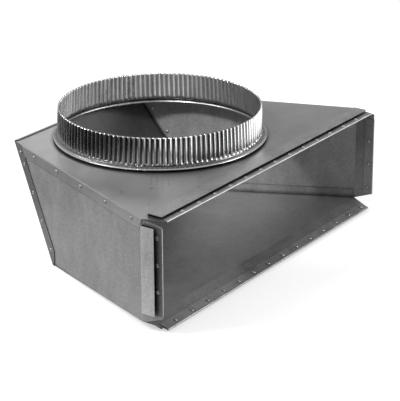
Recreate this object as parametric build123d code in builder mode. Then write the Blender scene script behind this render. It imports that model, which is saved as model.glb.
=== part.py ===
"""Duct transition in folded galvanized sheet: a wide rectangular mouth turning up into a round crimped collar.

Millimetres. +Z is up, the mouth opens towards -Y, and the base stands on Z = 0.
The origin lies under the middle of the whole part.
"""

import os
from math import atan2, cos, pi, radians, sin, tan

from build123d import *

os.makedirs("parts", exist_ok=True)

# Sheet and folds
sheet = 0.7
fold_radius = 1.2
seam_clearance = 0.4

# Casing, over its outer faces
mouth_width = 457.2
back_width = 240.0
back_height = 133.5
bend_height = 124.5
mouth_dip = 6.0
front_margin = 14.1
back_margin = 1.1
back_run = 82.5

# Seam flanges
top_side_flange = 13.0
top_flange_setback = 4.5
back_side_flange = 15.5
back_top_flange = 4.0
base_flange = 12.0
relief = 1.5

# Folded slips round the mouth
slip_depth = 27.4
pocket_gap = 2.3
side_pocket_gap = 3.8
inner_leaf = 13.0
slip_end_inset = 9.5
cross_slip_lead = 8.0
bottom_slip_lead = 9.5
side_slip_lead = 8.2
left_slip_top = 6.0
left_slip_bottom = 111.0
right_slip_top = 11.0
right_slip_bottom = 114.0
tab_top_drop = 4.0
tab_bottom_drop = 114.0

# Round collar
band_radius = 127.5
rim_draw_in = 1.9
neck_step = 2.1
lip_width = 1.4
bead_step = 4.9
bead_height = 5.4
bead_crest = 3.0
crimp_start = 11.0
collar_height = 40.9
flute_count = 128
flute_depth = 1.8
crimp_run_in = 0.1
crimp_taper = 2.0
neck_clearance = 0.1
bead_clearance = 0.6

# Rivets
rivet_radius = 1.6
rivet_clearance = 0.05
rivet_tail = 1.0
head_radius = 2.7
head_height = 1.1
head_taper = 35.0
shank_sides = 6
head_sides = 8
slip_layers = 3
seam_layers = 2
row_margin = 5.0
top_row_first = 33.1
top_row_pitch = 31.0
top_row_setback = 4.2
bottom_row_first = 21.0
bottom_row_pitch = 31.4
bottom_row_setback = 6.4
side_row_pitch = 32.0
side_row_setback = 7.0
left_row_first = 12.0
right_row_first = 30.5
top_seam_first = 22.0
top_seam_pitch = 57.0
corner_rivet_drop = 10.0
back_seam_first = 23.0
back_seam_pitch = 30.5
back_seam_margin = 14.0
collar_rivet_angle = 60.0
collar_rivet_height = 8.0
collar_rivet_lift = 0.1

# Places worked out from the sizes above
half_mouth = mouth_width / 2
half_back = back_width / 2
rim_radius = band_radius - rim_draw_in
neck_radius = band_radius + neck_step
lip_radius = neck_radius + lip_width
bead_radius = band_radius + bead_step
axis_to_bend = bead_radius + front_margin
back_reach = bead_radius + back_margin
base_back_reach = back_reach - back_run
mouth_reach = axis_to_bend + slip_depth
axis_y = (mouth_reach - back_reach) / 2
mouth_y = axis_y - mouth_reach
bend_y = axis_y - axis_to_bend
back_y = axis_y + back_reach
base_back_y = axis_y + base_back_reach
top_z = back_height
bend_z = back_height - bend_height
mouth_z = bend_z - mouth_dip
plan_slant = atan2(half_mouth - half_back, back_y - bend_y)
back_rake = atan2(back_y - base_back_y, top_z + sheet)
dip_angle = atan2(mouth_dip, slip_depth)
tab_end_y = mouth_y + sheet + seam_clearance
far = 2 * mouth_width


def half_width(y, offset=0.0):
    """X of the slanted side's outer face at y, moved outwards by offset."""
    return half_mouth - (y - bend_y) * tan(plan_slant) + offset / cos(plan_slant)


def back_face(z, inset=0.0):
    """Y of the raked back panel's outer face at z, moved inwards by inset."""
    return back_y - (top_z + sheet - z) * tan(back_rake) - inset / cos(back_rake)


def along(y):
    """Distance from the bend to y, measured along the slanted side."""
    return (y - bend_y) / cos(plan_slant)


def beside(s, offset=0.0):
    """Plan place at distance s along the slanted side, moved outwards by offset."""
    return (
        half_mouth - s * sin(plan_slant) + offset * cos(plan_slant),
        bend_y + s * cos(plan_slant) + offset * sin(plan_slant),
    )


def base_underside(y):
    """Z of the bottom plate's underside at y, behind the bend."""
    return bend_z * (back_face(0.0, sheet) - y) / (back_face(0.0, sheet) - bend_y)


def side_plane(offset=0.0):
    """The right side's slanted outer face: x runs towards the back, y up, z outwards."""
    outward = Vector(cos(plan_slant), sin(plan_slant), 0)
    start = Vector(half_mouth, bend_y, 0) + outward * offset
    return Plane(origin=start, x_dir=(-sin(plan_slant), cos(plan_slant), 0), z_dir=outward)


def row(first, pitch, length, margin=row_margin):
    """Places along a seam of the given length, from its first rivet on."""
    count = int((length - first - margin) / pitch) + 1
    return [first + pitch * i for i in range(count)]


def seats_on(plane, places):
    """One rivet seat at each (x, y) on the plane."""
    return [Plane(origin=plane.from_local_coords(Vector(x, y, 0)), z_dir=plane.z_dir) for x, y in places]


def rivet_group(seats, layers, tail=rivet_tail):
    """Rivets with low domed heads on the seats, through the layers of sheet below."""
    with BuildPart() as rivet:
        with BuildSketch():
            RegularPolygon(rivet_radius, shank_sides)
        extrude(amount=-(layers * sheet + tail))
        with BuildSketch():
            RegularPolygon(head_radius, head_sides)
        extrude(amount=head_height, taper=head_taper)
    with BuildPart() as group:
        with Locations(*seats):
            add(rivet.part)
    return group.part


def punch(seats, layers):
    """Cuts the rivet holes at the seats from the part being built."""
    with BuildSketch(*seats) as holes:
        RegularPolygon(rivet_radius + rivet_clearance, shank_sides)
    extrude(holes.sketch, amount=layers * sheet + seam_clearance, both=True, mode=Mode.SUBTRACT)


def slip_section(lead, gap):
    """Closed outline of the folded slip: u runs back from the mouth, v outwards from the panel."""
    outer = 2 * sheet + gap
    rear = slip_depth - seam_clearance
    rear_radius = 0.45 * outer
    front_radius = 0.45 * sheet
    FilletPolyline(
        (lead, outer),
        (rear, outer),
        (rear, 0),
        (sheet, 0),
        (sheet, -sheet),
        (inner_leaf, -sheet),
        radius=[rear_radius, rear_radius, front_radius, front_radius],
    )
    offset(amount=sheet, side=Side.RIGHT)


def part_at_bend(plane, gap):
    """Divides the slip at the start of its rear bend: pocket leaf, riveted strip and bend."""
    start = slip_depth - seam_clearance - 0.5 * (2 * sheet + gap)
    at_bend = Plane(origin=plane.from_local_coords(Vector(start, 0, 0)), z_dir=plane.x_dir)
    split(bisect_by=at_bend, keep=Keep.BOTH)


# Rivet seats, each at the outer face of the sheets that its rivet joins
slip_half = half_mouth - slip_end_inset
top_slip_plane = Plane(origin=(0, mouth_y, top_z), x_dir=(0, 1, 0), z_dir=(1, 0, 0))
bottom_slip_plane = Plane(
    origin=(0, mouth_y, mouth_z),
    x_dir=(0, cos(dip_angle), sin(dip_angle)),
    z_dir=(-1, 0, 0),
)
right_slip_plane = Plane(origin=(half_mouth, mouth_y, top_z), x_dir=(0, 1, 0), z_dir=(0, 0, -1))


def slip_seats(plane, setback, stations):
    """Seats on a slip's middle layer, setback behind its front fold."""
    places = [plane.from_local_coords(Vector(setback, sheet, w)) for w in stations]
    return [Plane(origin=p, z_dir=plane.y_dir) for p in places]


top_stations = [s - slip_half for s in row(top_row_first, top_row_pitch, 2 * slip_half)]
bottom_stations = [slip_half - s for s in row(bottom_row_first, bottom_row_pitch, 2 * slip_half)]
left_run = left_slip_bottom - left_slip_top
right_run = right_slip_bottom - right_slip_top
left_stations = [left_slip_top + s for s in row(left_row_first, side_row_pitch, left_run)]
right_stations = [right_slip_top + s for s in row(right_row_first, side_row_pitch, right_run)]
top_slip_seats = slip_seats(top_slip_plane, top_row_setback, top_stations)
bottom_slip_seats = slip_seats(bottom_slip_plane, bottom_row_setback, bottom_stations)
left_slip_seats = slip_seats(right_slip_plane, side_row_setback, left_stations)
right_slip_seats = slip_seats(right_slip_plane, side_row_setback, right_stations)

# The back panel's side flange and its row of rivets, on the slanted side
flange_plane = side_plane(sheet)
flange_run = back_side_flange / cos(back_rake)
seam_z = top_z - top_side_flange / 2
top_seam_end = along(back_face(seam_z)) - flange_run
top_seam_places = [(s, seam_z) for s in row(top_seam_first, top_seam_pitch, top_seam_end)]
back_seam_drops = [corner_rivet_drop] + row(back_seam_first, back_seam_pitch, back_height, back_seam_margin)
back_seam_places = [(along(back_face(top_z - d)) - flange_run / 2, top_z - d) for d in back_seam_drops]
top_seam_seats = seats_on(flange_plane, top_seam_places)
back_seam_seats = seats_on(flange_plane, back_seam_places)

# Top plate: one half with its folded side flange, then mirrored
with BuildPart() as top_plate:
    plate_back = back_face(top_z - sheet, sheet)
    fold_end = along(back_face(top_z)) - flange_run - seam_clearance
    with BuildSketch(Plane.XY.offset(top_z)):
        with BuildLine():
            Polyline(
                (0, tab_end_y),
                (slip_half, tab_end_y),
                (half_mouth, bend_y),
                beside(0, sheet),
                beside(fold_end, sheet),
                beside(fold_end),
                (half_width(plate_back), plate_back),
                (0, plate_back),
                close=True,
            )
        make_face()
    extrude(amount=-sheet)
    flange_low = top_z - top_side_flange
    with BuildSketch(side_plane()):
        with BuildLine():
            Polyline(
                (0, top_z),
                (top_flange_setback, flange_low),
                (along(back_face(flange_low)) - flange_run - seam_clearance, flange_low),
                (fold_end, top_z),
                close=True,
            )
        make_face()
    extrude(amount=sheet)
    fold = top_plate.edges().filter_by(
        lambda e: abs(e.center().Z - top_z) < sheet / 4
        and abs(e.center().X - half_width(e.center().Y, sheet)) < sheet / 4
    )
    fillet(fold, radius=fold_radius)
    with BuildSketch(Plane.XY.offset(top_z)):
        with Locations((0, axis_y)):
            Circle(neck_radius + neck_clearance)
    extrude(amount=-sheet, mode=Mode.SUBTRACT)
    punch(top_seam_seats, 1)
    mirror(about=Plane.YZ)
    punch(top_slip_seats, slip_layers)
top_plate.part.label = "top_plate"
export_step(top_plate.part, "parts/top_plate.step")

# Bottom plate: bent tab, raked rear flange and inner side flanges
with BuildPart() as bottom_plate:
    rear_low = back_face(0.0, sheet)
    rear_high = back_face(base_flange, sheet)
    tab_end_z = mouth_z + (tab_end_y - mouth_y) * tan(dip_angle)
    with BuildSketch(Plane.YZ):
        with BuildLine():
            Polyline((tab_end_y, tab_end_z), (bend_y, bend_z), (rear_low, 0), (rear_high, base_flange))
            offset(amount=sheet, side=Side.LEFT, kind=Kind.INTERSECTION)
        make_face()
    extrude(amount=half_mouth)
    with BuildSketch(Plane.XY):
        with BuildLine():
            Polyline(
                (0, tab_end_y),
                (slip_half, tab_end_y),
                (half_width(bend_y, -sheet), bend_y),
                (half_width(back_y, -sheet), back_y),
                (0, back_y),
                close=True,
            )
        make_face()
    extrude(amount=back_height, mode=Mode.INTERSECT)
    flange_rear = rear_low - 2 * sheet - relief
    flange_front = bend_y + relief
    with BuildSketch(side_plane(-sheet)):
        with BuildLine():
            Polyline(
                (along(flange_front), base_underside(flange_front)),
                (along(flange_rear), base_underside(flange_rear)),
                (along(flange_rear), base_underside(flange_rear) + base_flange),
                (along(flange_front), base_underside(flange_front) + base_flange),
                close=True,
            )
        make_face()
    extrude(amount=-sheet)
    mirror(about=Plane.YZ)
    punch(bottom_slip_seats, slip_layers)
bottom_plate.part.label = "bottom_plate"
export_step(bottom_plate.part, "parts/bottom_plate.step")


def side_panel(slip_seats_here):
    """The right side panel, bent once, with its tapered tab and the holes of its three seams."""
    with BuildPart() as panel:
        with BuildSketch(Plane.XY):
            with BuildLine():
                Polyline((half_mouth, tab_end_y), (half_mouth, bend_y), (half_width(back_y), back_y))
                offset(amount=sheet, side=Side.LEFT, kind=Kind.INTERSECTION)
            make_face()
        extrude(amount=back_height)
        with BuildSketch(Plane.YZ):
            with BuildLine():
                Polyline(
                    (tab_end_y, top_z - tab_bottom_drop),
                    (bend_y, bend_z),
                    (back_face(0.0, sheet), 0),
                    (back_face(top_z - sheet, sheet), top_z - sheet),
                    (bend_y, top_z - sheet),
                    (tab_end_y, top_z - tab_top_drop),
                    close=True,
                )
            make_face()
        extrude(amount=far, mode=Mode.INTERSECT)
        punch(slip_seats_here, slip_layers)
        punch(top_seam_seats + back_seam_seats, seam_layers)
    return panel.part


with BuildPart() as right_side_panel:
    add(side_panel(right_slip_seats))
right_side_panel.part.label = "right_side_panel"
export_step(right_side_panel.part, "parts/right_side_panel.step")

with BuildPart() as left_side_panel:
    add(mirror(side_panel(left_slip_seats), about=Plane.YZ))
left_side_panel.part.label = "left_side_panel"
export_step(left_side_panel.part, "parts/left_side_panel.step")

# Back panel: a raked pan whose flanges fold forwards over the sides and the top
with BuildPart() as back_panel:
    with BuildSketch(Plane.YZ):
        with BuildLine():
            Polyline(
                (back_face(0.0), 0),
                (back_y, top_z + sheet),
                (back_face(top_z + sheet, sheet), top_z + sheet),
                (back_face(0.0, sheet), 0),
                close=True,
            )
        make_face()
    extrude(amount=half_mouth)
    with BuildSketch(Plane.XY):
        with BuildLine():
            Polyline(
                (0, base_back_y - back_side_flange),
                (half_width(base_back_y - back_side_flange, sheet), base_back_y - back_side_flange),
                (half_width(back_y, sheet), back_y),
                (0, back_y),
                close=True,
            )
        make_face()
    extrude(amount=far, mode=Mode.INTERSECT)
    with BuildSketch(Plane.XY.offset(top_z)):
        with BuildLine():
            lip_front = back_y - back_top_flange
            corner_x = half_width(back_y, sheet)
            Polyline(
                (0, lip_front),
                (corner_x - back_top_flange, lip_front),
                (corner_x, back_y),
                (0, back_y),
                close=True,
            )
        make_face()
        with Locations((0, axis_y)):
            Circle(bead_radius + bead_clearance, mode=Mode.SUBTRACT)
    extrude(amount=sheet)
    with BuildSketch(side_plane()):
        with BuildLine():
            foot = along(back_face(0.0)) - flange_run / 4
            heel = top_z - tab_bottom_drop
            Polyline(
                (foot, 0),
                (along(back_face(0.0)) + relief, 0),
                (along(back_face(top_z)) + relief, top_z),
                (along(back_face(top_z)) - flange_run, top_z),
                (along(back_face(heel)) - flange_run, heel),
                close=True,
            )
        make_face()
    extrude(amount=sheet)
    back_outer = Plane(
        origin=(0, back_y, top_z + sheet),
        x_dir=(1, 0, 0),
        z_dir=(0, cos(back_rake), -sin(back_rake)),
    )
    split(bisect_by=back_outer, keep=Keep.BOTTOM)
    punch(back_seam_seats, 1)
    mirror(about=Plane.YZ)
back_panel.part.label = "back_panel"
export_step(back_panel.part, "parts/back_panel.step")

# Folded slips: one sheet folded twice, holding the panel's tab inside and leaving a pocket outside
with BuildPart() as top_slip:
    with BuildSketch(top_slip_plane):
        with BuildLine():
            slip_section(cross_slip_lead, pocket_gap)
        make_face()
    extrude(amount=slip_half, both=True)
    punch(top_slip_seats, slip_layers)
    part_at_bend(top_slip_plane, pocket_gap)
top_slip.part.label = "top_slip"
export_step(top_slip.part, "parts/top_slip.step")

with BuildPart() as bottom_slip:
    with BuildSketch(bottom_slip_plane):
        with BuildLine():
            slip_section(bottom_slip_lead, pocket_gap)
        make_face()
    extrude(amount=slip_half, both=True)
    punch(bottom_slip_seats, slip_layers)
    part_at_bend(bottom_slip_plane, pocket_gap)
bottom_slip.part.label = "bottom_slip"
export_step(bottom_slip.part, "parts/bottom_slip.step")


def side_slip(first, last, slip_seats_here):
    """The right side's slip, between two distances below the top plate's upper face."""
    with BuildPart() as slip:
        with BuildSketch(right_slip_plane.offset(first)):
            with BuildLine():
                slip_section(side_slip_lead, side_pocket_gap)
            make_face()
        extrude(amount=last - first)
        punch(slip_seats_here, slip_layers)
    return slip.part


with BuildPart() as right_slip:
    add(side_slip(right_slip_top, right_slip_bottom, right_slip_seats))
    part_at_bend(right_slip_plane, side_pocket_gap)
right_slip.part.label = "right_slip"
export_step(right_slip.part, "parts/right_slip.step")

with BuildPart() as left_slip:
    add(mirror(side_slip(left_slip_top, left_slip_bottom, left_slip_seats), about=Plane.YZ))
    part_at_bend(right_slip_plane, side_pocket_gap)
left_slip.part.label = "left_slip"
export_step(left_slip.part, "parts/left_slip.step")


def flute_ring(crest):
    """Closed zigzag outline with one crest and one valley for each flute."""
    step = pi / flute_count
    points = []
    for i in range(2 * flute_count):
        radius = crest - flute_depth * (i % 2)
        points.append((radius * cos(i * step), radius * sin(i * step)))
    Polyline(*points, close=True)


def flute_body(inset):
    """Solid of the crimped stretch, moved inwards by inset: tapered flutes that run out into the plain band."""
    with BuildPart() as body:
        axis = Plane.XY.move(Location((0, axis_y, top_z)))
        with BuildSketch(axis.offset(crimp_start)):
            with BuildLine():
                flute_ring(band_radius + flute_depth + crimp_run_in - inset)
            make_face()
        with BuildSketch(axis.offset(collar_height)):
            with BuildLine():
                flute_ring(rim_radius - inset)
            make_face()
        loft(ruled=True)
        with BuildSketch(axis.offset(crimp_start)):
            Circle(band_radius - inset)
        extrude(amount=collar_height, taper=crimp_taper, mode=Mode.INTERSECT)
    return body.part


# Collar: peened lip under the plate, rolled bead on it, plain band, then the crimped flutes
collar_inward = Vector(-cos(radians(collar_rivet_angle)), -sin(radians(collar_rivet_angle)), 0)
collar_seat = Plane(
    origin=Vector(0, axis_y, top_z + collar_rivet_height)
    - collar_inward * (band_radius - sheet - collar_rivet_lift),
    z_dir=collar_inward,
)
with BuildPart() as round_collar:
    with BuildSketch(Plane(origin=(0, axis_y, top_z), x_dir=(1, 0, 0), z_dir=(0, -1, 0))):
        with BuildLine():
            Polyline(
                (band_radius, crimp_start),
                (band_radius, bead_height),
                (bead_radius, bead_crest),
                (neck_radius, 0),
                (neck_radius, -sheet),
                (lip_radius, -sheet),
            )
            offset(amount=sheet, side=Side.RIGHT, kind=Kind.INTERSECTION)
        make_face()
    revolve(axis=Axis((0, axis_y, top_z), (0, 0, 1)))
    add(flute_body(0.0) - flute_body(sheet))
    punch([collar_seat], 1)
round_collar.part.label = "round_collar"
export_step(round_collar.part, "parts/round_collar.step")

# Rivet rows
rows = {
    "top_slip_rivets": rivet_group(top_slip_seats, slip_layers),
    "bottom_slip_rivets": rivet_group(bottom_slip_seats, slip_layers),
    "right_slip_rivets": rivet_group(right_slip_seats, slip_layers),
    "left_slip_rivets": mirror(rivet_group(left_slip_seats, slip_layers), about=Plane.YZ),
    "right_top_seam_rivets": rivet_group(top_seam_seats, seam_layers),
    "left_top_seam_rivets": mirror(rivet_group(top_seam_seats, seam_layers), about=Plane.YZ),
    "right_back_seam_rivets": rivet_group(back_seam_seats, seam_layers),
    "left_back_seam_rivets": mirror(rivet_group(back_seam_seats, seam_layers), about=Plane.YZ),
    "collar_rivet": rivet_group([collar_seat], 1, 0.0),
}
for row_name, rivets in rows.items():
    with BuildPart() as rivet_row:
        add(rivets)
    rivet_row.part.label = row_name
    export_step(rivet_row.part, f"parts/{row_name}.step")
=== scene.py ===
import math

import bmesh
import bpy
from mathutils import Matrix, Vector


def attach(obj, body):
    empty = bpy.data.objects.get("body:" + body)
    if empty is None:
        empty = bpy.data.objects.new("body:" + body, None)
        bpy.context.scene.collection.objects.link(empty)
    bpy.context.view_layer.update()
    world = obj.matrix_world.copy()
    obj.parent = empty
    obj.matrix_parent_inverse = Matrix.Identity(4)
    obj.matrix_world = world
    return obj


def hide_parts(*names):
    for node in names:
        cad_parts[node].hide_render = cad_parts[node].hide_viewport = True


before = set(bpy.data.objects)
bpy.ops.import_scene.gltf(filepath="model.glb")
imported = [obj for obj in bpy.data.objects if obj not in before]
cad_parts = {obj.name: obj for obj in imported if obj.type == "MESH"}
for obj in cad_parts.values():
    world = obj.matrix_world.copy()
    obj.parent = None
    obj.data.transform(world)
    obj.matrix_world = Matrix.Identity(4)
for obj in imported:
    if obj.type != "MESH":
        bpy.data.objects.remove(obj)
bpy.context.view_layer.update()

# Sizes of the casing, in metres, over its outer faces
SHEET = 0.0007
HALF_MOUTH = 0.2286
HALF_BACK = 0.120
TOP = 0.1335
AXIS_Y = 0.0202  # axis of the collar
BEND_Y = -0.1263  # bend between the slanted sides and the straight tabs at the mouth
BACK_Y = 0.1537
HEEL_Y = 0.0712  # rear edge of the base, where the raked back panel starts
SLIP_DEPTH = 0.0274
MOUTH_DIP = 0.006
TOP_SIDE_FLANGE = 0.013
SLANT = math.atan2(HALF_MOUTH - HALF_BACK, BACK_Y - BEND_Y)
RAKE = math.atan2(BACK_Y - HEEL_Y, TOP + SHEET)
DIP = math.atan2(MOUTH_DIP, SLIP_DEPTH)

# Directions out of the casing
RIGHT_OUT = Vector((math.cos(SLANT), math.sin(SLANT), 0))
LEFT_OUT = Vector((-RIGHT_OUT.x, RIGHT_OUT.y, 0))
REAR_OUT = Vector((0, math.cos(RAKE), -math.sin(RAKE)))

# Sizes of the collar, with heights above the top plate
FLUTES = 128
STEPS = 10  # points round each flute
AROUND = FLUTES * STEPS
BAND = 0.1275
RIM = 0.1256  # radius of the crests at the rim
BEAD_TOP = 0.0046
CRIMP = 0.0062  # height at which the crimps start
CRIMP_DEPTH = 0.0018
CRIMP_START = 0.010  # share of the crimps' height at which their valleys start
CRIMP_RUN_IN = 0.07  # share over which the valleys reach their depth
CRIMP_SHAPE = 0.8  # below 1 the valleys are wider than the crests
START_SWING = 0.015  # how much the start differs from crimp to crimp
START_STEP = 2.399  # radians of that swing between one crimp and the next
START_WOBBLE = 0.010  # how much the start drifts round the collar
DEPTH_SWING = 0.10  # share by which the depth differs from crimp to crimp
DEPTH_STEP = 1.713
COLLAR_TOP = 0.0409
RIM_CURVE = 1.2  # above 1 the crests draw in faster towards the rim
RIM_PLAY = 0.0003  # room for the rim's unevenness below the collar's top
RIM_WAVE = 0.00025

# Lap seam of the collar: one edge of the overlap shows outside, the other inside
SEAM_ANGLE = 60  # degrees round the collar, place of the seam's rivet
LAP_START, LAP_END = 55.5, 62.4  # degrees
LAP_FADE = 4  # degrees past the lap over which its rise dies out
LAP_SPAN = 11  # degrees over which it would grow to LAP_RISE
LAP_RISE = 0.0005

# Rivets: profile of the head as radius and share of its height, and the bulb set behind the sheet
ROUND = 24
HEAD_HEIGHT = 0.00105
NODE_HEAD = 0.0011  # height of the node's own head
SHANK = 0.0016
HEAD = [
    (0.0, 0.30), (0.00075, 0.30), (0.00085, 0.90), (0.0010, 1.0), (0.0014, 0.92),
    (0.0019, 0.68), (0.0023, 0.38), (0.00255, 0.14), (0.0026, 0.0),
]
BULB = [(SHANK, 0.0010), (0.0022, 0.0008), (0.0023, 0.0005), (0.0018, 0.0001), (0.0, 0.0)]
SAME_POINT = 1e-6
SKEW = Vector((0.31, 0.17, 0.93))  # any direction that no rivet points in

# Dark bars of painted shadow along the seams under the top plate's side flanges
SEAM_ENDS = (0.0060, 0.2620)  # behind the bend
SEAM_OFFSET = 0.00001
SEAM_WIDTH = 0.00034
SEAM_HEIGHT = 0.0005

# Finishes by the way a face is turned
FACING = 0.7  # cosine above which a face counts as turned in a direction
UNDERSIDE = -0.3
POCKET_LIMIT = HALF_MOUTH + 0.0020  # the inner leaves of the side slips lie within it

# Look of the zinc. Each noise has a scale, a detail and a roughness
BROAD = (9.0, 3.0, 0.55)
CLOUD = (60.0, 5.0, 0.62)
SPECK = (330.0, 4.0, 0.7)
CLOUD_STRETCH = (1.0, 1.0, 0.45)
BROAD_SHARE = 0.7  # of the mottle
# Painted shade in creases and corners: the power on the occlusion and the rays it samples
CREASE_POWER = 2.2
CREASE_SAMPLES = 8
ROUGHNESS_SWING = 0.30
WAVE_HEIGHT = 0.004
BLUE_CAST = 1.01

# Painted shade on the collar, in the valleys between the crimps and on the bead and foot: its
# reach, how fast it fades per metre of height, and the light it takes
FOOT_REACH = 0.003  # above the start of the crimps
FOOT_SLOPE = -350.0
VALLEY_SLOPE = 400.0
BEAD_SLOPE = 1500.0
BEAD_SHADE = 0.32
FOOT_SHADE = 0.38  # besides the bead's painted shade, between the bead and the crimps

# Studio levels
WHITE = (1, 1, 1, 1)
AMBIENT = 0.60
FLOOR_COLOUR = (0.80, 0.80, 0.80, 1)
FLOOR_LIFT = 0.20
CAMERA_LIFT = 0.30
FLOOR_REACH = 6
FLOOR_DROP = 0.0002

# Camera, fitted to the photograph
CAMERA_PLACE = (-1.5280, -1.1384, 0.8183)
CAMERA_LOOK = (0.75302408, 0.54143701, -0.37389932)
CAMERA_ROLL = math.radians(-0.25)
FOCAL_PIXELS = 1642.93
PHOTO_WIDTH = 400
SENSOR = 36


class Nodes:
    """The node tree of a material or a world, with short calls for building it."""

    def __init__(self, owner):
        owner.use_nodes = True
        self.owner = owner
        self.tree = owner.node_tree
        self.tree.nodes.clear()

    def add(self, kind, inputs=None, **props):
        """A new node. An input is linked where it is another node's socket, and set otherwise."""
        node = self.tree.nodes.new(kind)
        for key, value in props.items():
            setattr(node, key, value)
        for key, value in (inputs or {}).items():
            if isinstance(value, bpy.types.NodeSocket):
                self.tree.links.new(value, node.inputs[key])
            else:
                node.inputs[key].default_value = value
        return node

    def math(self, operation, a, b=0.0, clamp=False):
        node = self.add("ShaderNodeMath", {0: a, 1: b}, operation=operation, use_clamp=clamp)
        return node.outputs[0]

    def plus(self, a, b, clamp=False):
        return self.math("ADD", a, b, clamp)

    def minus(self, a, b):
        return self.math("SUBTRACT", a, b)

    def times(self, a, b, clamp=False):
        return self.math("MULTIPLY", a, b, clamp)

    def noise(self, place, scale, detail, roughness):
        inputs = {"Vector": place, "Scale": scale, "Detail": detail, "Roughness": roughness}
        return self.add("ShaderNodeTexNoise", inputs).outputs["Fac"]


def srgb(value):
    """Linear value of a display value from 0 to 255."""
    c = value / 255
    return c / 12.92 if c <= 0.04045 else ((c + 0.055) / 1.055) ** 2.4


# Materials
def crimp_shade(n, place, crimps):
    """Share of the light that the collar's painted shade leaves: in the valleys, and on the bead
    and foot.

    crimps is how dark the painted shade in the valleys between the crimps gets.
    """
    xyz = n.add("ShaderNodeSeparateXYZ", {"Vector": place}).outputs

    def fade(height, slope):
        """0 to 1 above this height over the top plate, or below it where the slope is negative."""
        return n.times(n.minus(xyz["Z"], TOP + height), slope, clamp=True)

    angle = n.math("ARCTAN2", n.minus(xyz["Y"], AXIS_Y), xyz["X"])
    crest = n.math("COSINE", n.times(angle, FLUTES))
    valley = n.times(n.minus(0.5, n.times(crest, 0.5)), fade(CRIMP, VALLEY_SLOPE))
    foot_level = n.plus(n.times(fade(BEAD_TOP, BEAD_SLOPE), FOOT_SHADE), BEAD_SHADE)
    foot = n.times(fade(CRIMP + FOOT_REACH, FOOT_SLOPE), foot_level)
    return n.times(n.minus(1.0, foot), n.minus(1.0, n.times(valley, crimps)))


def zinc(
    name, level, rough,
    mottle=0.36, grain=0.50, wave=0.35, metallic=0.8, crease_shade=0.85, reach=0.006, crimps=0.0,
):
    """Galvanized sheet: soft mottling, fine grain, a slight waviness, and painted shade in the
    creases and corners.

    The crease shade is how dark the painted shade in the creases gets, and reach how far from the
    corner it goes.
    """
    n = Nodes(bpy.data.materials.new(name))
    place = n.add("ShaderNodeTexCoord").outputs["Object"]
    stretched = n.add("ShaderNodeMapping", {"Vector": place, "Scale": CLOUD_STRETCH}).outputs[0]
    broad = n.noise(place, *BROAD)
    cloud = n.noise(stretched, *CLOUD)
    speck = n.noise(place, *SPECK)
    total = 1.0
    for value, weight in ((broad, BROAD_SHARE * mottle), (cloud, mottle), (speck, grain)):
        total = n.plus(n.times(n.minus(value, 0.5), 2 * weight), total)
    # Painted shade: darker in creases and corners, by the ambient occlusion
    occlusion = n.add("ShaderNodeAmbientOcclusion", {"Distance": reach}, samples=CREASE_SAMPLES)
    corner = n.math("POWER", occlusion.outputs["AO"], CREASE_POWER)
    total = n.times(total, n.plus(n.times(corner, crease_shade), 1 - crease_shade))
    # Painted shade in the collar's valleys and on its bead and foot
    if crimps:
        total = n.times(total, crimp_shade(n, place, crimps))
    tone = n.times(total, level)
    blue = n.times(tone, BLUE_CAST)
    colour = n.add("ShaderNodeCombineColor", {0: tone, 1: tone, 2: blue}).outputs[0]
    roughness = n.plus(n.times(n.minus(cloud, 0.5), ROUGHNESS_SWING), rough, clamp=True)
    bump = n.add("ShaderNodeBump", {"Height": broad, "Strength": wave, "Distance": WAVE_HEIGHT})
    shader = n.add("ShaderNodeBsdfPrincipled", {
        "Base Color": colour,
        "Metallic": metallic,
        "Roughness": roughness,
        "Normal": bump.outputs[0],
    })
    n.add("ShaderNodeOutputMaterial", {"Surface": shader.outputs[0]})
    return n.owner


side_zinc = zinc("zinc_side", srgb(142), 0.48, metallic=0.5)
top_zinc = zinc("zinc_top", srgb(149), 0.33, mottle=0.18, grain=0.06, metallic=0.75)
# Painted shade: the bottom plate and the inner faces of the sides and back take darker copies of
# the sheet than the outside
inside_zinc = zinc("zinc_inside", srgb(128), 0.38, metallic=0.6)
side_inner_shade_zinc = zinc("zinc_side_inside_shade", srgb(128), 0.44, metallic=0.4)
back_inner_shade_zinc = zinc("zinc_back_inside_shade", srgb(66), 0.46, metallic=0.6)
back_zinc = zinc("zinc_back", srgb(110), 0.44, metallic=0.6)
slip_zinc = zinc("zinc_slip", srgb(146), 0.40, metallic=0.7, crease_shade=0.95, reach=0.010)
# Painted light and shade: the near side slip takes a lighter copy of the slip's zinc, with deep
# painted shade by its pocket
leaf_light_and_shade_zinc = zinc("zinc_leaf_light_and_shade", srgb(178), 0.46, metallic=0.35, crease_shade=1.0, reach=0.022)
# Painted shade in the side slips' pockets and on the underside and ends of the bottom slip
pocket_shade_zinc = zinc("zinc_pocket_shade", srgb(104), 0.50, metallic=0.35, crease_shade=1.0, reach=0.022)
# The collar, with painted shade in the valleys between its crimps and on its bead and foot
collar_zinc = zinc(
    "zinc_collar", srgb(198), 0.22,
    mottle=0.16, grain=0.16, wave=0.10, metallic=1.0, crimps=0.85,
)
inner_collar_zinc = zinc(
    "zinc_collar_inside", srgb(194), 0.30,
    mottle=0.30, grain=0.30, wave=0.20, metallic=0.85, crimps=0.35,
)
rivet_metal = zinc(
    "rivet_metal", srgb(170), 0.36,
    mottle=0.05, grain=0.05, wave=0.0, metallic=0.9, crease_shade=0.9,
)
# Painted shadow: the dark finish of the bars in the seams and corners
seam_shadow = zinc("seam_painted_shadow", srgb(45), 0.6, metallic=0.2, crease_shade=0.0)


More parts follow.
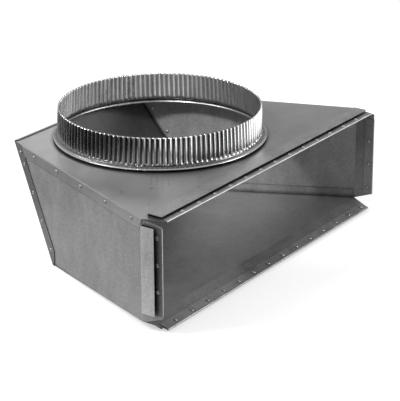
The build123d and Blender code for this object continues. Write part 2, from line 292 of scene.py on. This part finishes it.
def mesh_piece(name, verts, faces, finish, slot, *nodes, smooth=True):
    """A mesh object that rides on the casing and stands for the given nodes."""
    mesh = bpy.data.meshes.new(name)
    mesh.from_pydata(verts, [], faces)
    mesh.validate()
    work = bmesh.new()
    work.from_mesh(mesh)
    bmesh.ops.recalc_face_normals(work, faces=work.faces)
    work.to_mesh(mesh)
    work.free()
    mesh.materials.append(finish)
    for polygon in mesh.polygons:
        polygon.use_smooth = smooth
    piece = bpy.data.objects.new(name, mesh)
    bpy.context.collection.objects.link(piece)
    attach(piece, "root")
    if nodes:
        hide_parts(*nodes)
    return piece


# Collar: lip, rolled bead and rounded crimps, as one closed sheet
def smoothstep(x):
    x = max(0.0, min(1.0, x))
    return x * x * (3 - 2 * x)


def wobble(angle, seed):
    """Small smooth variation round the ring."""
    return (
        0.5 * math.sin(3 * angle + seed)
        + 0.3 * math.sin(7 * angle + 2.1 * seed)
        + 0.2 * math.sin(17 * angle + 3.7 * seed)
    )


def flute(angle):
    """Depth of the crimp at this angle, from 0 on a crest to 1 in a valley."""
    phase = angle * FLUTES / (2 * math.pi)
    wave = 0.5 - 0.5 * math.cos(2 * math.pi * phase)
    return wave ** CRIMP_SHAPE


def crimp_row(level):
    """Radius and height of each point round the collar, at this share of the crimps' height."""
    row = []
    for i in range(AROUND):
        angle = 2 * math.pi * i / AROUND
        number = i // STEPS
        start = CRIMP_START + START_SWING * math.sin(number * START_STEP)
        start += START_WOBBLE * wobble(angle, 1.3)
        depth = CRIMP_DEPTH * smoothstep((level - start) / CRIMP_RUN_IN) * (0.85 + 0.15 * level)
        depth *= 1.0 + DEPTH_SWING * math.sin(number * DEPTH_STEP + 0.6)
        crest = BAND + (RIM - BAND) * level ** RIM_CURVE
        z = CRIMP + (COLLAR_TOP - RIM_PLAY - CRIMP) * level
        z += RIM_WAVE * wobble(angle, 0.4) * level
        row.append((crest - depth * flute(angle), min(z, COLLAR_TOP)))
    return row


def lap(i, outside):
    """Rise of the sheet at the overlap, which fades away from the edge that shows."""
    degrees = 360 * i / AROUND
    if outside:
        from_edge, to_end = degrees - LAP_START, LAP_END + LAP_FADE - degrees
    else:
        from_edge, to_end = LAP_END - degrees, degrees - LAP_START + LAP_FADE
    return LAP_RISE * (to_end / LAP_SPAN) if from_edge >= 0 and to_end > 0 else 0.0


def ring_point(radius, z, i):
    """Place on the collar, with z above the top plate."""
    angle = 2 * math.pi * i / AROUND
    return Vector((radius * math.cos(angle), AXIS_Y + radius * math.sin(angle), TOP + z))


lip_and_bead = [
    (0.1309, -0.0007), (0.1298, -0.00072), (0.1296, -0.0003), (0.1297, 0.0001), (0.1304, 0.0009),
    (0.1316, 0.0019), (0.13225, 0.0027), (0.1323, 0.0032), (0.1319, 0.0037), (0.1306, 0.0043),
    (0.1291, 0.0049), (0.1280, 0.0053), (0.12752, 0.0057),
]
crimp_levels = (0.0, 0.025, 0.05, 0.075, 0.11, 0.16, 0.25, 0.40, 0.55, 0.70, 0.85, 0.95, 1.0)
collar_rows = [[point] * AROUND for point in lip_and_bead]
collar_rows += [crimp_row(level) for level in crimp_levels]
outer = [
    [ring_point(radius + lap(i, True), z, i) for i, (radius, z) in enumerate(row)]
    for row in collar_rows
]


def inner_point(r, i):
    """The outer point moved through the sheet, along the surface's normal there."""
    up = outer[min(r + 1, len(outer) - 1)][i] - outer[max(r - 1, 0)][i]
    along = outer[r][(i + 1) % AROUND] - outer[r][i - 1]
    normal = up.cross(along).normalized()
    return outer[r][i] + normal * (SHEET + lap(i, True) + lap(i, False))


inner = [[inner_point(r, i) for i in range(AROUND)] for r in reversed(range(len(outer)))]
rings = outer + inner
collar_verts = [tuple(point) for ring in rings for point in ring]
collar_faces = []
for r in range(len(rings)):
    low, high = r * AROUND, (r + 1) % len(rings) * AROUND
    for i in range(AROUND):
        j = (i + 1) % AROUND
        collar_faces.append((low + i, low + j, high + j, high + i))
collar_sheet = mesh_piece(
    "collar_sheet", collar_verts, collar_faces, collar_zinc, "sheet_collar", "round_collar",
)
collar_sheet.data.materials.append(inner_collar_zinc)
for polygon in collar_sheet.data.polygons[len(outer) * AROUND:]:
    polygon.material_index = 1


# Rivets: low round heads in front, set bulbs behind
def rivet_groups(node_name):
    """The points of each rivet in a node, found as separate islands of its mesh."""
    work = bmesh.new()
    work.from_mesh(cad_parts[node_name].data)
    bmesh.ops.remove_doubles(work, verts=work.verts, dist=SAME_POINT)
    seen, groups = set(), []
    for vert in work.verts:
        if vert in seen:
            continue
        stack, group = [vert], []
        seen.add(vert)
        while stack:
            v = stack.pop()
            group.append(v.co.copy())
            for edge in v.link_edges:
                other = edge.other_vert(v)
                if other not in seen:
                    seen.add(other)
                    stack.append(other)
        groups.append(group)
    work.free()
    return groups


def rivet_row(name, node_name, outward):
    """Round rivets in the place of the node's plain ones. outward is the direction of the heads."""
    verts, faces = [], []
    normal = outward.normalized()
    across = normal.cross(SKEW).normalized()
    other = normal.cross(across)
    for group in rivet_groups(node_name):
        middle = sum(group, Vector()) / len(group)
        heights = [(p - middle).dot(normal) for p in group]
        seat, tail = max(heights) - NODE_HEAD, min(heights)
        outline = [(r, seat + share * HEAD_HEIGHT) for r, share in HEAD]
        outline.append((SHANK, seat))
        outline += [(r, tail + h) for r, h in BULB]
        base = len(verts)
        verts.append(middle + normal * outline[0][1])
        for r, h in outline[1:-1]:
            for k in range(ROUND):
                a = 2 * math.pi * k / ROUND
                ray = across * math.cos(a) + other * math.sin(a)
                verts.append(middle + normal * h + ray * r)
        verts.append(middle + normal * outline[-1][1])
        first_ring = base + 1
        last_ring = first_ring + (len(outline) - 3) * ROUND
        for k in range(ROUND):
            j = (k + 1) % ROUND
            faces.append((base, first_ring + k, first_ring + j))
            for low in range(first_ring, last_ring, ROUND):
                high = low + ROUND
                faces.append((low + k, low + j, high + j, high + k))
            faces.append((last_ring + k, last_ring + j, last_ring + ROUND))
    mesh_piece(name, [tuple(v) for v in verts], faces, rivet_metal, "rivet", node_name)


seam_angle = math.radians(SEAM_ANGLE)
for row_name, node_name, outward in (
    ("top_slip_heads", "top_slip_rivets", Vector((0, 0, 1))),
    ("bottom_slip_heads", "bottom_slip_rivets", Vector((0, math.sin(DIP), -math.cos(DIP)))),
    ("left_slip_heads", "left_slip_rivets", Vector((-1, 0, 0))),
    ("right_slip_heads", "right_slip_rivets", Vector((1, 0, 0))),
    ("left_top_seam_heads", "left_top_seam_rivets", LEFT_OUT),
    ("right_top_seam_heads", "right_top_seam_rivets", RIGHT_OUT),
    ("left_back_seam_heads", "left_back_seam_rivets", LEFT_OUT),
    ("right_back_seam_heads", "right_back_seam_rivets", RIGHT_OUT),
    ("collar_seam_head", "collar_rivet", Vector((-math.cos(seam_angle), -math.sin(seam_angle), 0))),
):
    rivet_row(row_name, node_name, outward)


# Painted shadow: dark bars in the seams under the top plate's side flanges and in the rear inner
# corners
def side_point(s, offset, z, sign):
    """Place on a slanted side: s behind the bend, offset outwards. sign is 1 right and -1 left."""
    x = HALF_MOUTH - s * math.sin(SLANT) + offset * math.cos(SLANT)
    y = BEND_Y + s * math.cos(SLANT) + offset * math.sin(SLANT)
    return Vector((sign * x, y, z))


def seam_line(name, start, end, across, down, slot):
    """A thin closed dark bar along a seam: a painted shadow."""
    section = (Vector(), across, across + down, down)
    verts = [tuple(place + step) for place in (start, end) for step in section]
    faces = [(0, 1, 2, 3), (7, 6, 5, 4)]
    faces += [(k, (k + 1) % 4, (k + 1) % 4 + 4, k + 4) for k in range(4)]
    mesh_piece(name, verts, faces, seam_shadow, slot, smooth=False)


heel_x = HALF_BACK + (BACK_Y - HEEL_Y) * math.tan(SLANT)
for side, sign, outward in (("left", -1, LEFT_OUT), ("right", 1, RIGHT_OUT)):
    flange_foot = TOP - TOP_SIDE_FLANGE
    front, rear = (side_point(s, SEAM_OFFSET, flange_foot, sign) for s in SEAM_ENDS)
    seam_line(
        side + "_seam_line", front, rear,
        outward * SEAM_WIDTH, Vector((0, 0, -SEAM_HEIGHT)), "sheet_side",
    )
    # From the heel up to the top plate, just inside the corner
    foot = Vector((sign * (heel_x - 0.0010), HEEL_Y - 0.0010, 0.0035))
    head = Vector((sign * (HALF_BACK - 0.0002), BACK_Y - 0.0032, TOP - 0.0015))
    seam_line(
        side + "_corner_line", foot, head,
        Vector((-sign * 0.0008, 0, 0)), Vector((0, -0.0006, 0.0004)), "sheet_back",
    )

# Finishes of the CAD nodes
finishes = {
    "top_plate": top_zinc,
    "bottom_plate": inside_zinc,
    "left_side_panel": side_zinc,
    "right_side_panel": side_zinc,
    "back_panel": back_zinc,
    "round_collar": collar_zinc,
    "top_slip": slip_zinc,
    "bottom_slip": slip_zinc,
    # The near side slip takes the lighter copy with deep painted shade, the far one the plain slip
    # zinc
    "left_slip": leaf_light_and_shade_zinc,
    "right_slip": slip_zinc,
}
for node_name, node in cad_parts.items():
    node.data.materials.clear()
    node.data.materials.append(finishes.get(node_name, rivet_metal))


def second_finish(node_name, finish, chosen):
    """Another finish for the chosen faces of a node."""
    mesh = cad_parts[node_name].data
    mesh.materials.append(finish)
    for polygon in mesh.polygons:
        if chosen(polygon):
            polygon.material_index = 1


# The inner faces of the casing are darker than its outside: painted shade
for node_name, finish, outward in (
    ("left_side_panel", side_inner_shade_zinc, LEFT_OUT),
    ("right_side_panel", side_inner_shade_zinc, RIGHT_OUT),
    ("back_panel", back_inner_shade_zinc, REAR_OUT),
):
    second_finish(node_name, finish, lambda face: face.normal.dot(outward) < -FACING)

# Painted shade: the underside and the cut ends of the bottom slip are darker, and so are the side
# slips' pockets
second_finish(
    "bottom_slip", pocket_shade_zinc,
    lambda face: abs(face.normal.x) > FACING or face.normal.z < UNDERSIDE,
)
for node_name, sign in (("left_slip", -1), ("right_slip", 1)):
    second_finish(
        node_name, pocket_shade_zinc,
        lambda face: face.normal.x * sign > FACING and face.center.x * sign < POCKET_LIMIT,
    )


# Backdrop and floor
def seen_rays(n):
    """1 for the rays that show the background: from the camera, in gloss and through glass."""
    ray = n.add("ShaderNodeLightPath").outputs
    straight = n.math("MAXIMUM", ray["Is Camera Ray"], ray["Is Glossy Ray"])
    return n.math("MAXIMUM", straight, ray["Is Transmission Ray"])


def plain_mesh(name, corners, material):
    """A four-cornered sheet that is part of the stage."""
    mesh = bpy.data.meshes.new(name)
    mesh.from_pydata(corners, [], [(0, 1, 2, 3)])
    mesh.materials.append(material)
    sheet = bpy.data.objects.new(name, mesh)
    bpy.context.collection.objects.link(sheet)
    return sheet


w = Nodes(bpy.data.worlds.new("studio"))
ambient = w.add("ShaderNodeBackground", {"Color": WHITE, "Strength": AMBIENT}).outputs[0]
backdrop = w.add("ShaderNodeBackground", {"Color": WHITE, "Strength": 1.0}).outputs[0]
shown = w.add("ShaderNodeMixShader", {0: seen_rays(w), 1: ambient, 2: backdrop}).outputs[0]
w.add("ShaderNodeOutputWorld", {"Surface": shown})
bpy.context.scene.world = w.owner

f = Nodes(bpy.data.materials.new("floor"))
lit = f.add("ShaderNodeBsdfDiffuse", {"Color": FLOOR_COLOUR}).outputs[0]
direct = f.times(f.add("ShaderNodeLightPath").outputs["Is Camera Ray"], CAMERA_LIFT)
lift_level = f.plus(f.times(seen_rays(f), FLOOR_LIFT), direct)
lift = f.add("ShaderNodeEmission", {"Color": WHITE, "Strength": lift_level}).outputs[0]
both = f.add("ShaderNodeAddShader", {0: lit, 1: lift}).outputs[0]
f.add("ShaderNodeOutputMaterial", {"Surface": both})
quarters = ((-1, -1), (1, -1), (1, 1), (-1, 1))
floor = plain_mesh("floor", [(FLOOR_REACH * x, FLOOR_REACH * y, 0) for x, y in quarters], f.owner)
floor.location.z = -FLOOR_DROP


# Lamps and cards
def aimed_lamp(name, kind, place, target, power):
    """The object of a lamp that looks at the target."""
    holder = bpy.data.objects.new(name, bpy.data.lights.new(name, kind))
    holder.data.energy = power
    holder.location = place
    aim = Vector(target) - Vector(place)
    holder.rotation_euler = aim.to_track_quat("-Z", "Y").to_euler()
    bpy.context.collection.objects.link(holder)
    return holder


def softbox(name, place, target, size, power, tall=None):
    """A rectangular area lamp that the camera doesn't see."""
    holder = aimed_lamp(name, "AREA", place, target, power)
    holder.visible_camera = False
    lamp = holder.data
    lamp.shape = "RECTANGLE"
    lamp.size = size
    lamp.size_y = tall or size


def spot(name, place, target, angle, power):
    """A soft-edged spotlight with a cone of the given angle in degrees."""
    lamp = aimed_lamp(name, "SPOT", place, target, power).data
    lamp.spot_size = math.radians(angle)
    lamp.spot_blend = 0.9
    lamp.shadow_soft_size = 0.12


def around(azimuth, distance, height):
    """Place in the studio: azimuth in degrees from +X towards +Y."""
    a = math.radians(azimuth)
    return (distance * math.cos(a), distance * math.sin(a), height)


def card(name, corners, level, lights=False):
    """A plain card that only reflections see: a dark flag below 1, a bright reflector above."""
    paint = Nodes(bpy.data.materials.new(name))
    shade = paint.add("ShaderNodeEmission", {"Color": WHITE, "Strength": level}).outputs[0]
    paint.add("ShaderNodeOutputMaterial", {"Surface": shade})
    board = plain_mesh(name, corners, paint.owner)
    board.visible_camera = False
    board.visible_shadow = False
    board.visible_diffuse = lights


def standing(name, azimuth, distance, width, bottom, top, level):
    """An upright card that faces the object."""
    a = math.radians(azimuth)
    x, y = distance * math.cos(a), distance * math.sin(a)
    dx, dy = -math.sin(a) * width / 2, math.cos(a) * width / 2
    corners = ((-1, bottom), (1, bottom), (1, top), (-1, top))
    card(name, [(x + side * dx, y + side * dy, z) for side, z in corners], level)


def lying(name, x0, y0, x1, y1, level, lights=False):
    """A card flat on the floor."""
    z = 0.001
    card(name, [(x0, y0, z), (x1, y0, z), (x1, y1, z), (x0, y1, z)], level, lights)


middle = (0, 0, 0.07)
softbox("strip", around(292, 1.6, 0.55), middle, 0.30, 6, 0.9)
softbox("key", around(142, 1.30, 1.20), middle, 0.6, 14)
softbox("corner", (0.78, 0.80, 0.58), (-0.12, 0.15, 0.13), 0.35, 0.45)
spot("side_spot", (-0.90, -0.09, 0.95), (0.145, 0.075, 0.10), 10, 190)
standing("dark_flag", 215, 2.6, 2.2, 0.02, 1.9, 0.02)
standing("bright_wall", 300, 1.9, 1.1, 0.05, 1.3, 8.0)
standing("back_card", 36, 2.4, 2.6, 0.02, 2.0, 0.50)
lying("dark_floor", -2.2, -1.6, -0.34, 0.9, 0.02)
lying("grey_floor", -0.34, 0.24, 0.4, 1.3, 0.45)
lying("bright_floor", -0.02, -1.4, 1.2, -0.34, 4.0, lights=True)

# Camera at the photograph's angle
look = Vector(CAMERA_LOOK).normalized()
level_right = look.cross(Vector((0.0, 0.0, 1.0))).normalized()
level_up = level_right.cross(look).normalized()
right = math.cos(CAMERA_ROLL) * level_right + math.sin(CAMERA_ROLL) * level_up
up = -math.sin(CAMERA_ROLL) * level_right + math.cos(CAMERA_ROLL) * level_up
camera_data = bpy.data.cameras.new("camera")
camera_data.sensor_fit = "HORIZONTAL"
camera_data.sensor_width = SENSOR
camera_data.lens = SENSOR * FOCAL_PIXELS / PHOTO_WIDTH
camera_data.clip_start = 0.05
camera_data.clip_end = 40
camera = bpy.data.objects.new("camera", camera_data)
bpy.context.collection.objects.link(camera)
camera.matrix_world = Matrix(
    [(right[k], up[k], -look[k], CAMERA_PLACE[k]) for k in range(3)] + [(0, 0, 0, 1)]
)
bpy.context.scene.camera = camera
bpy.context.scene.view_settings.view_transform = "Standard"
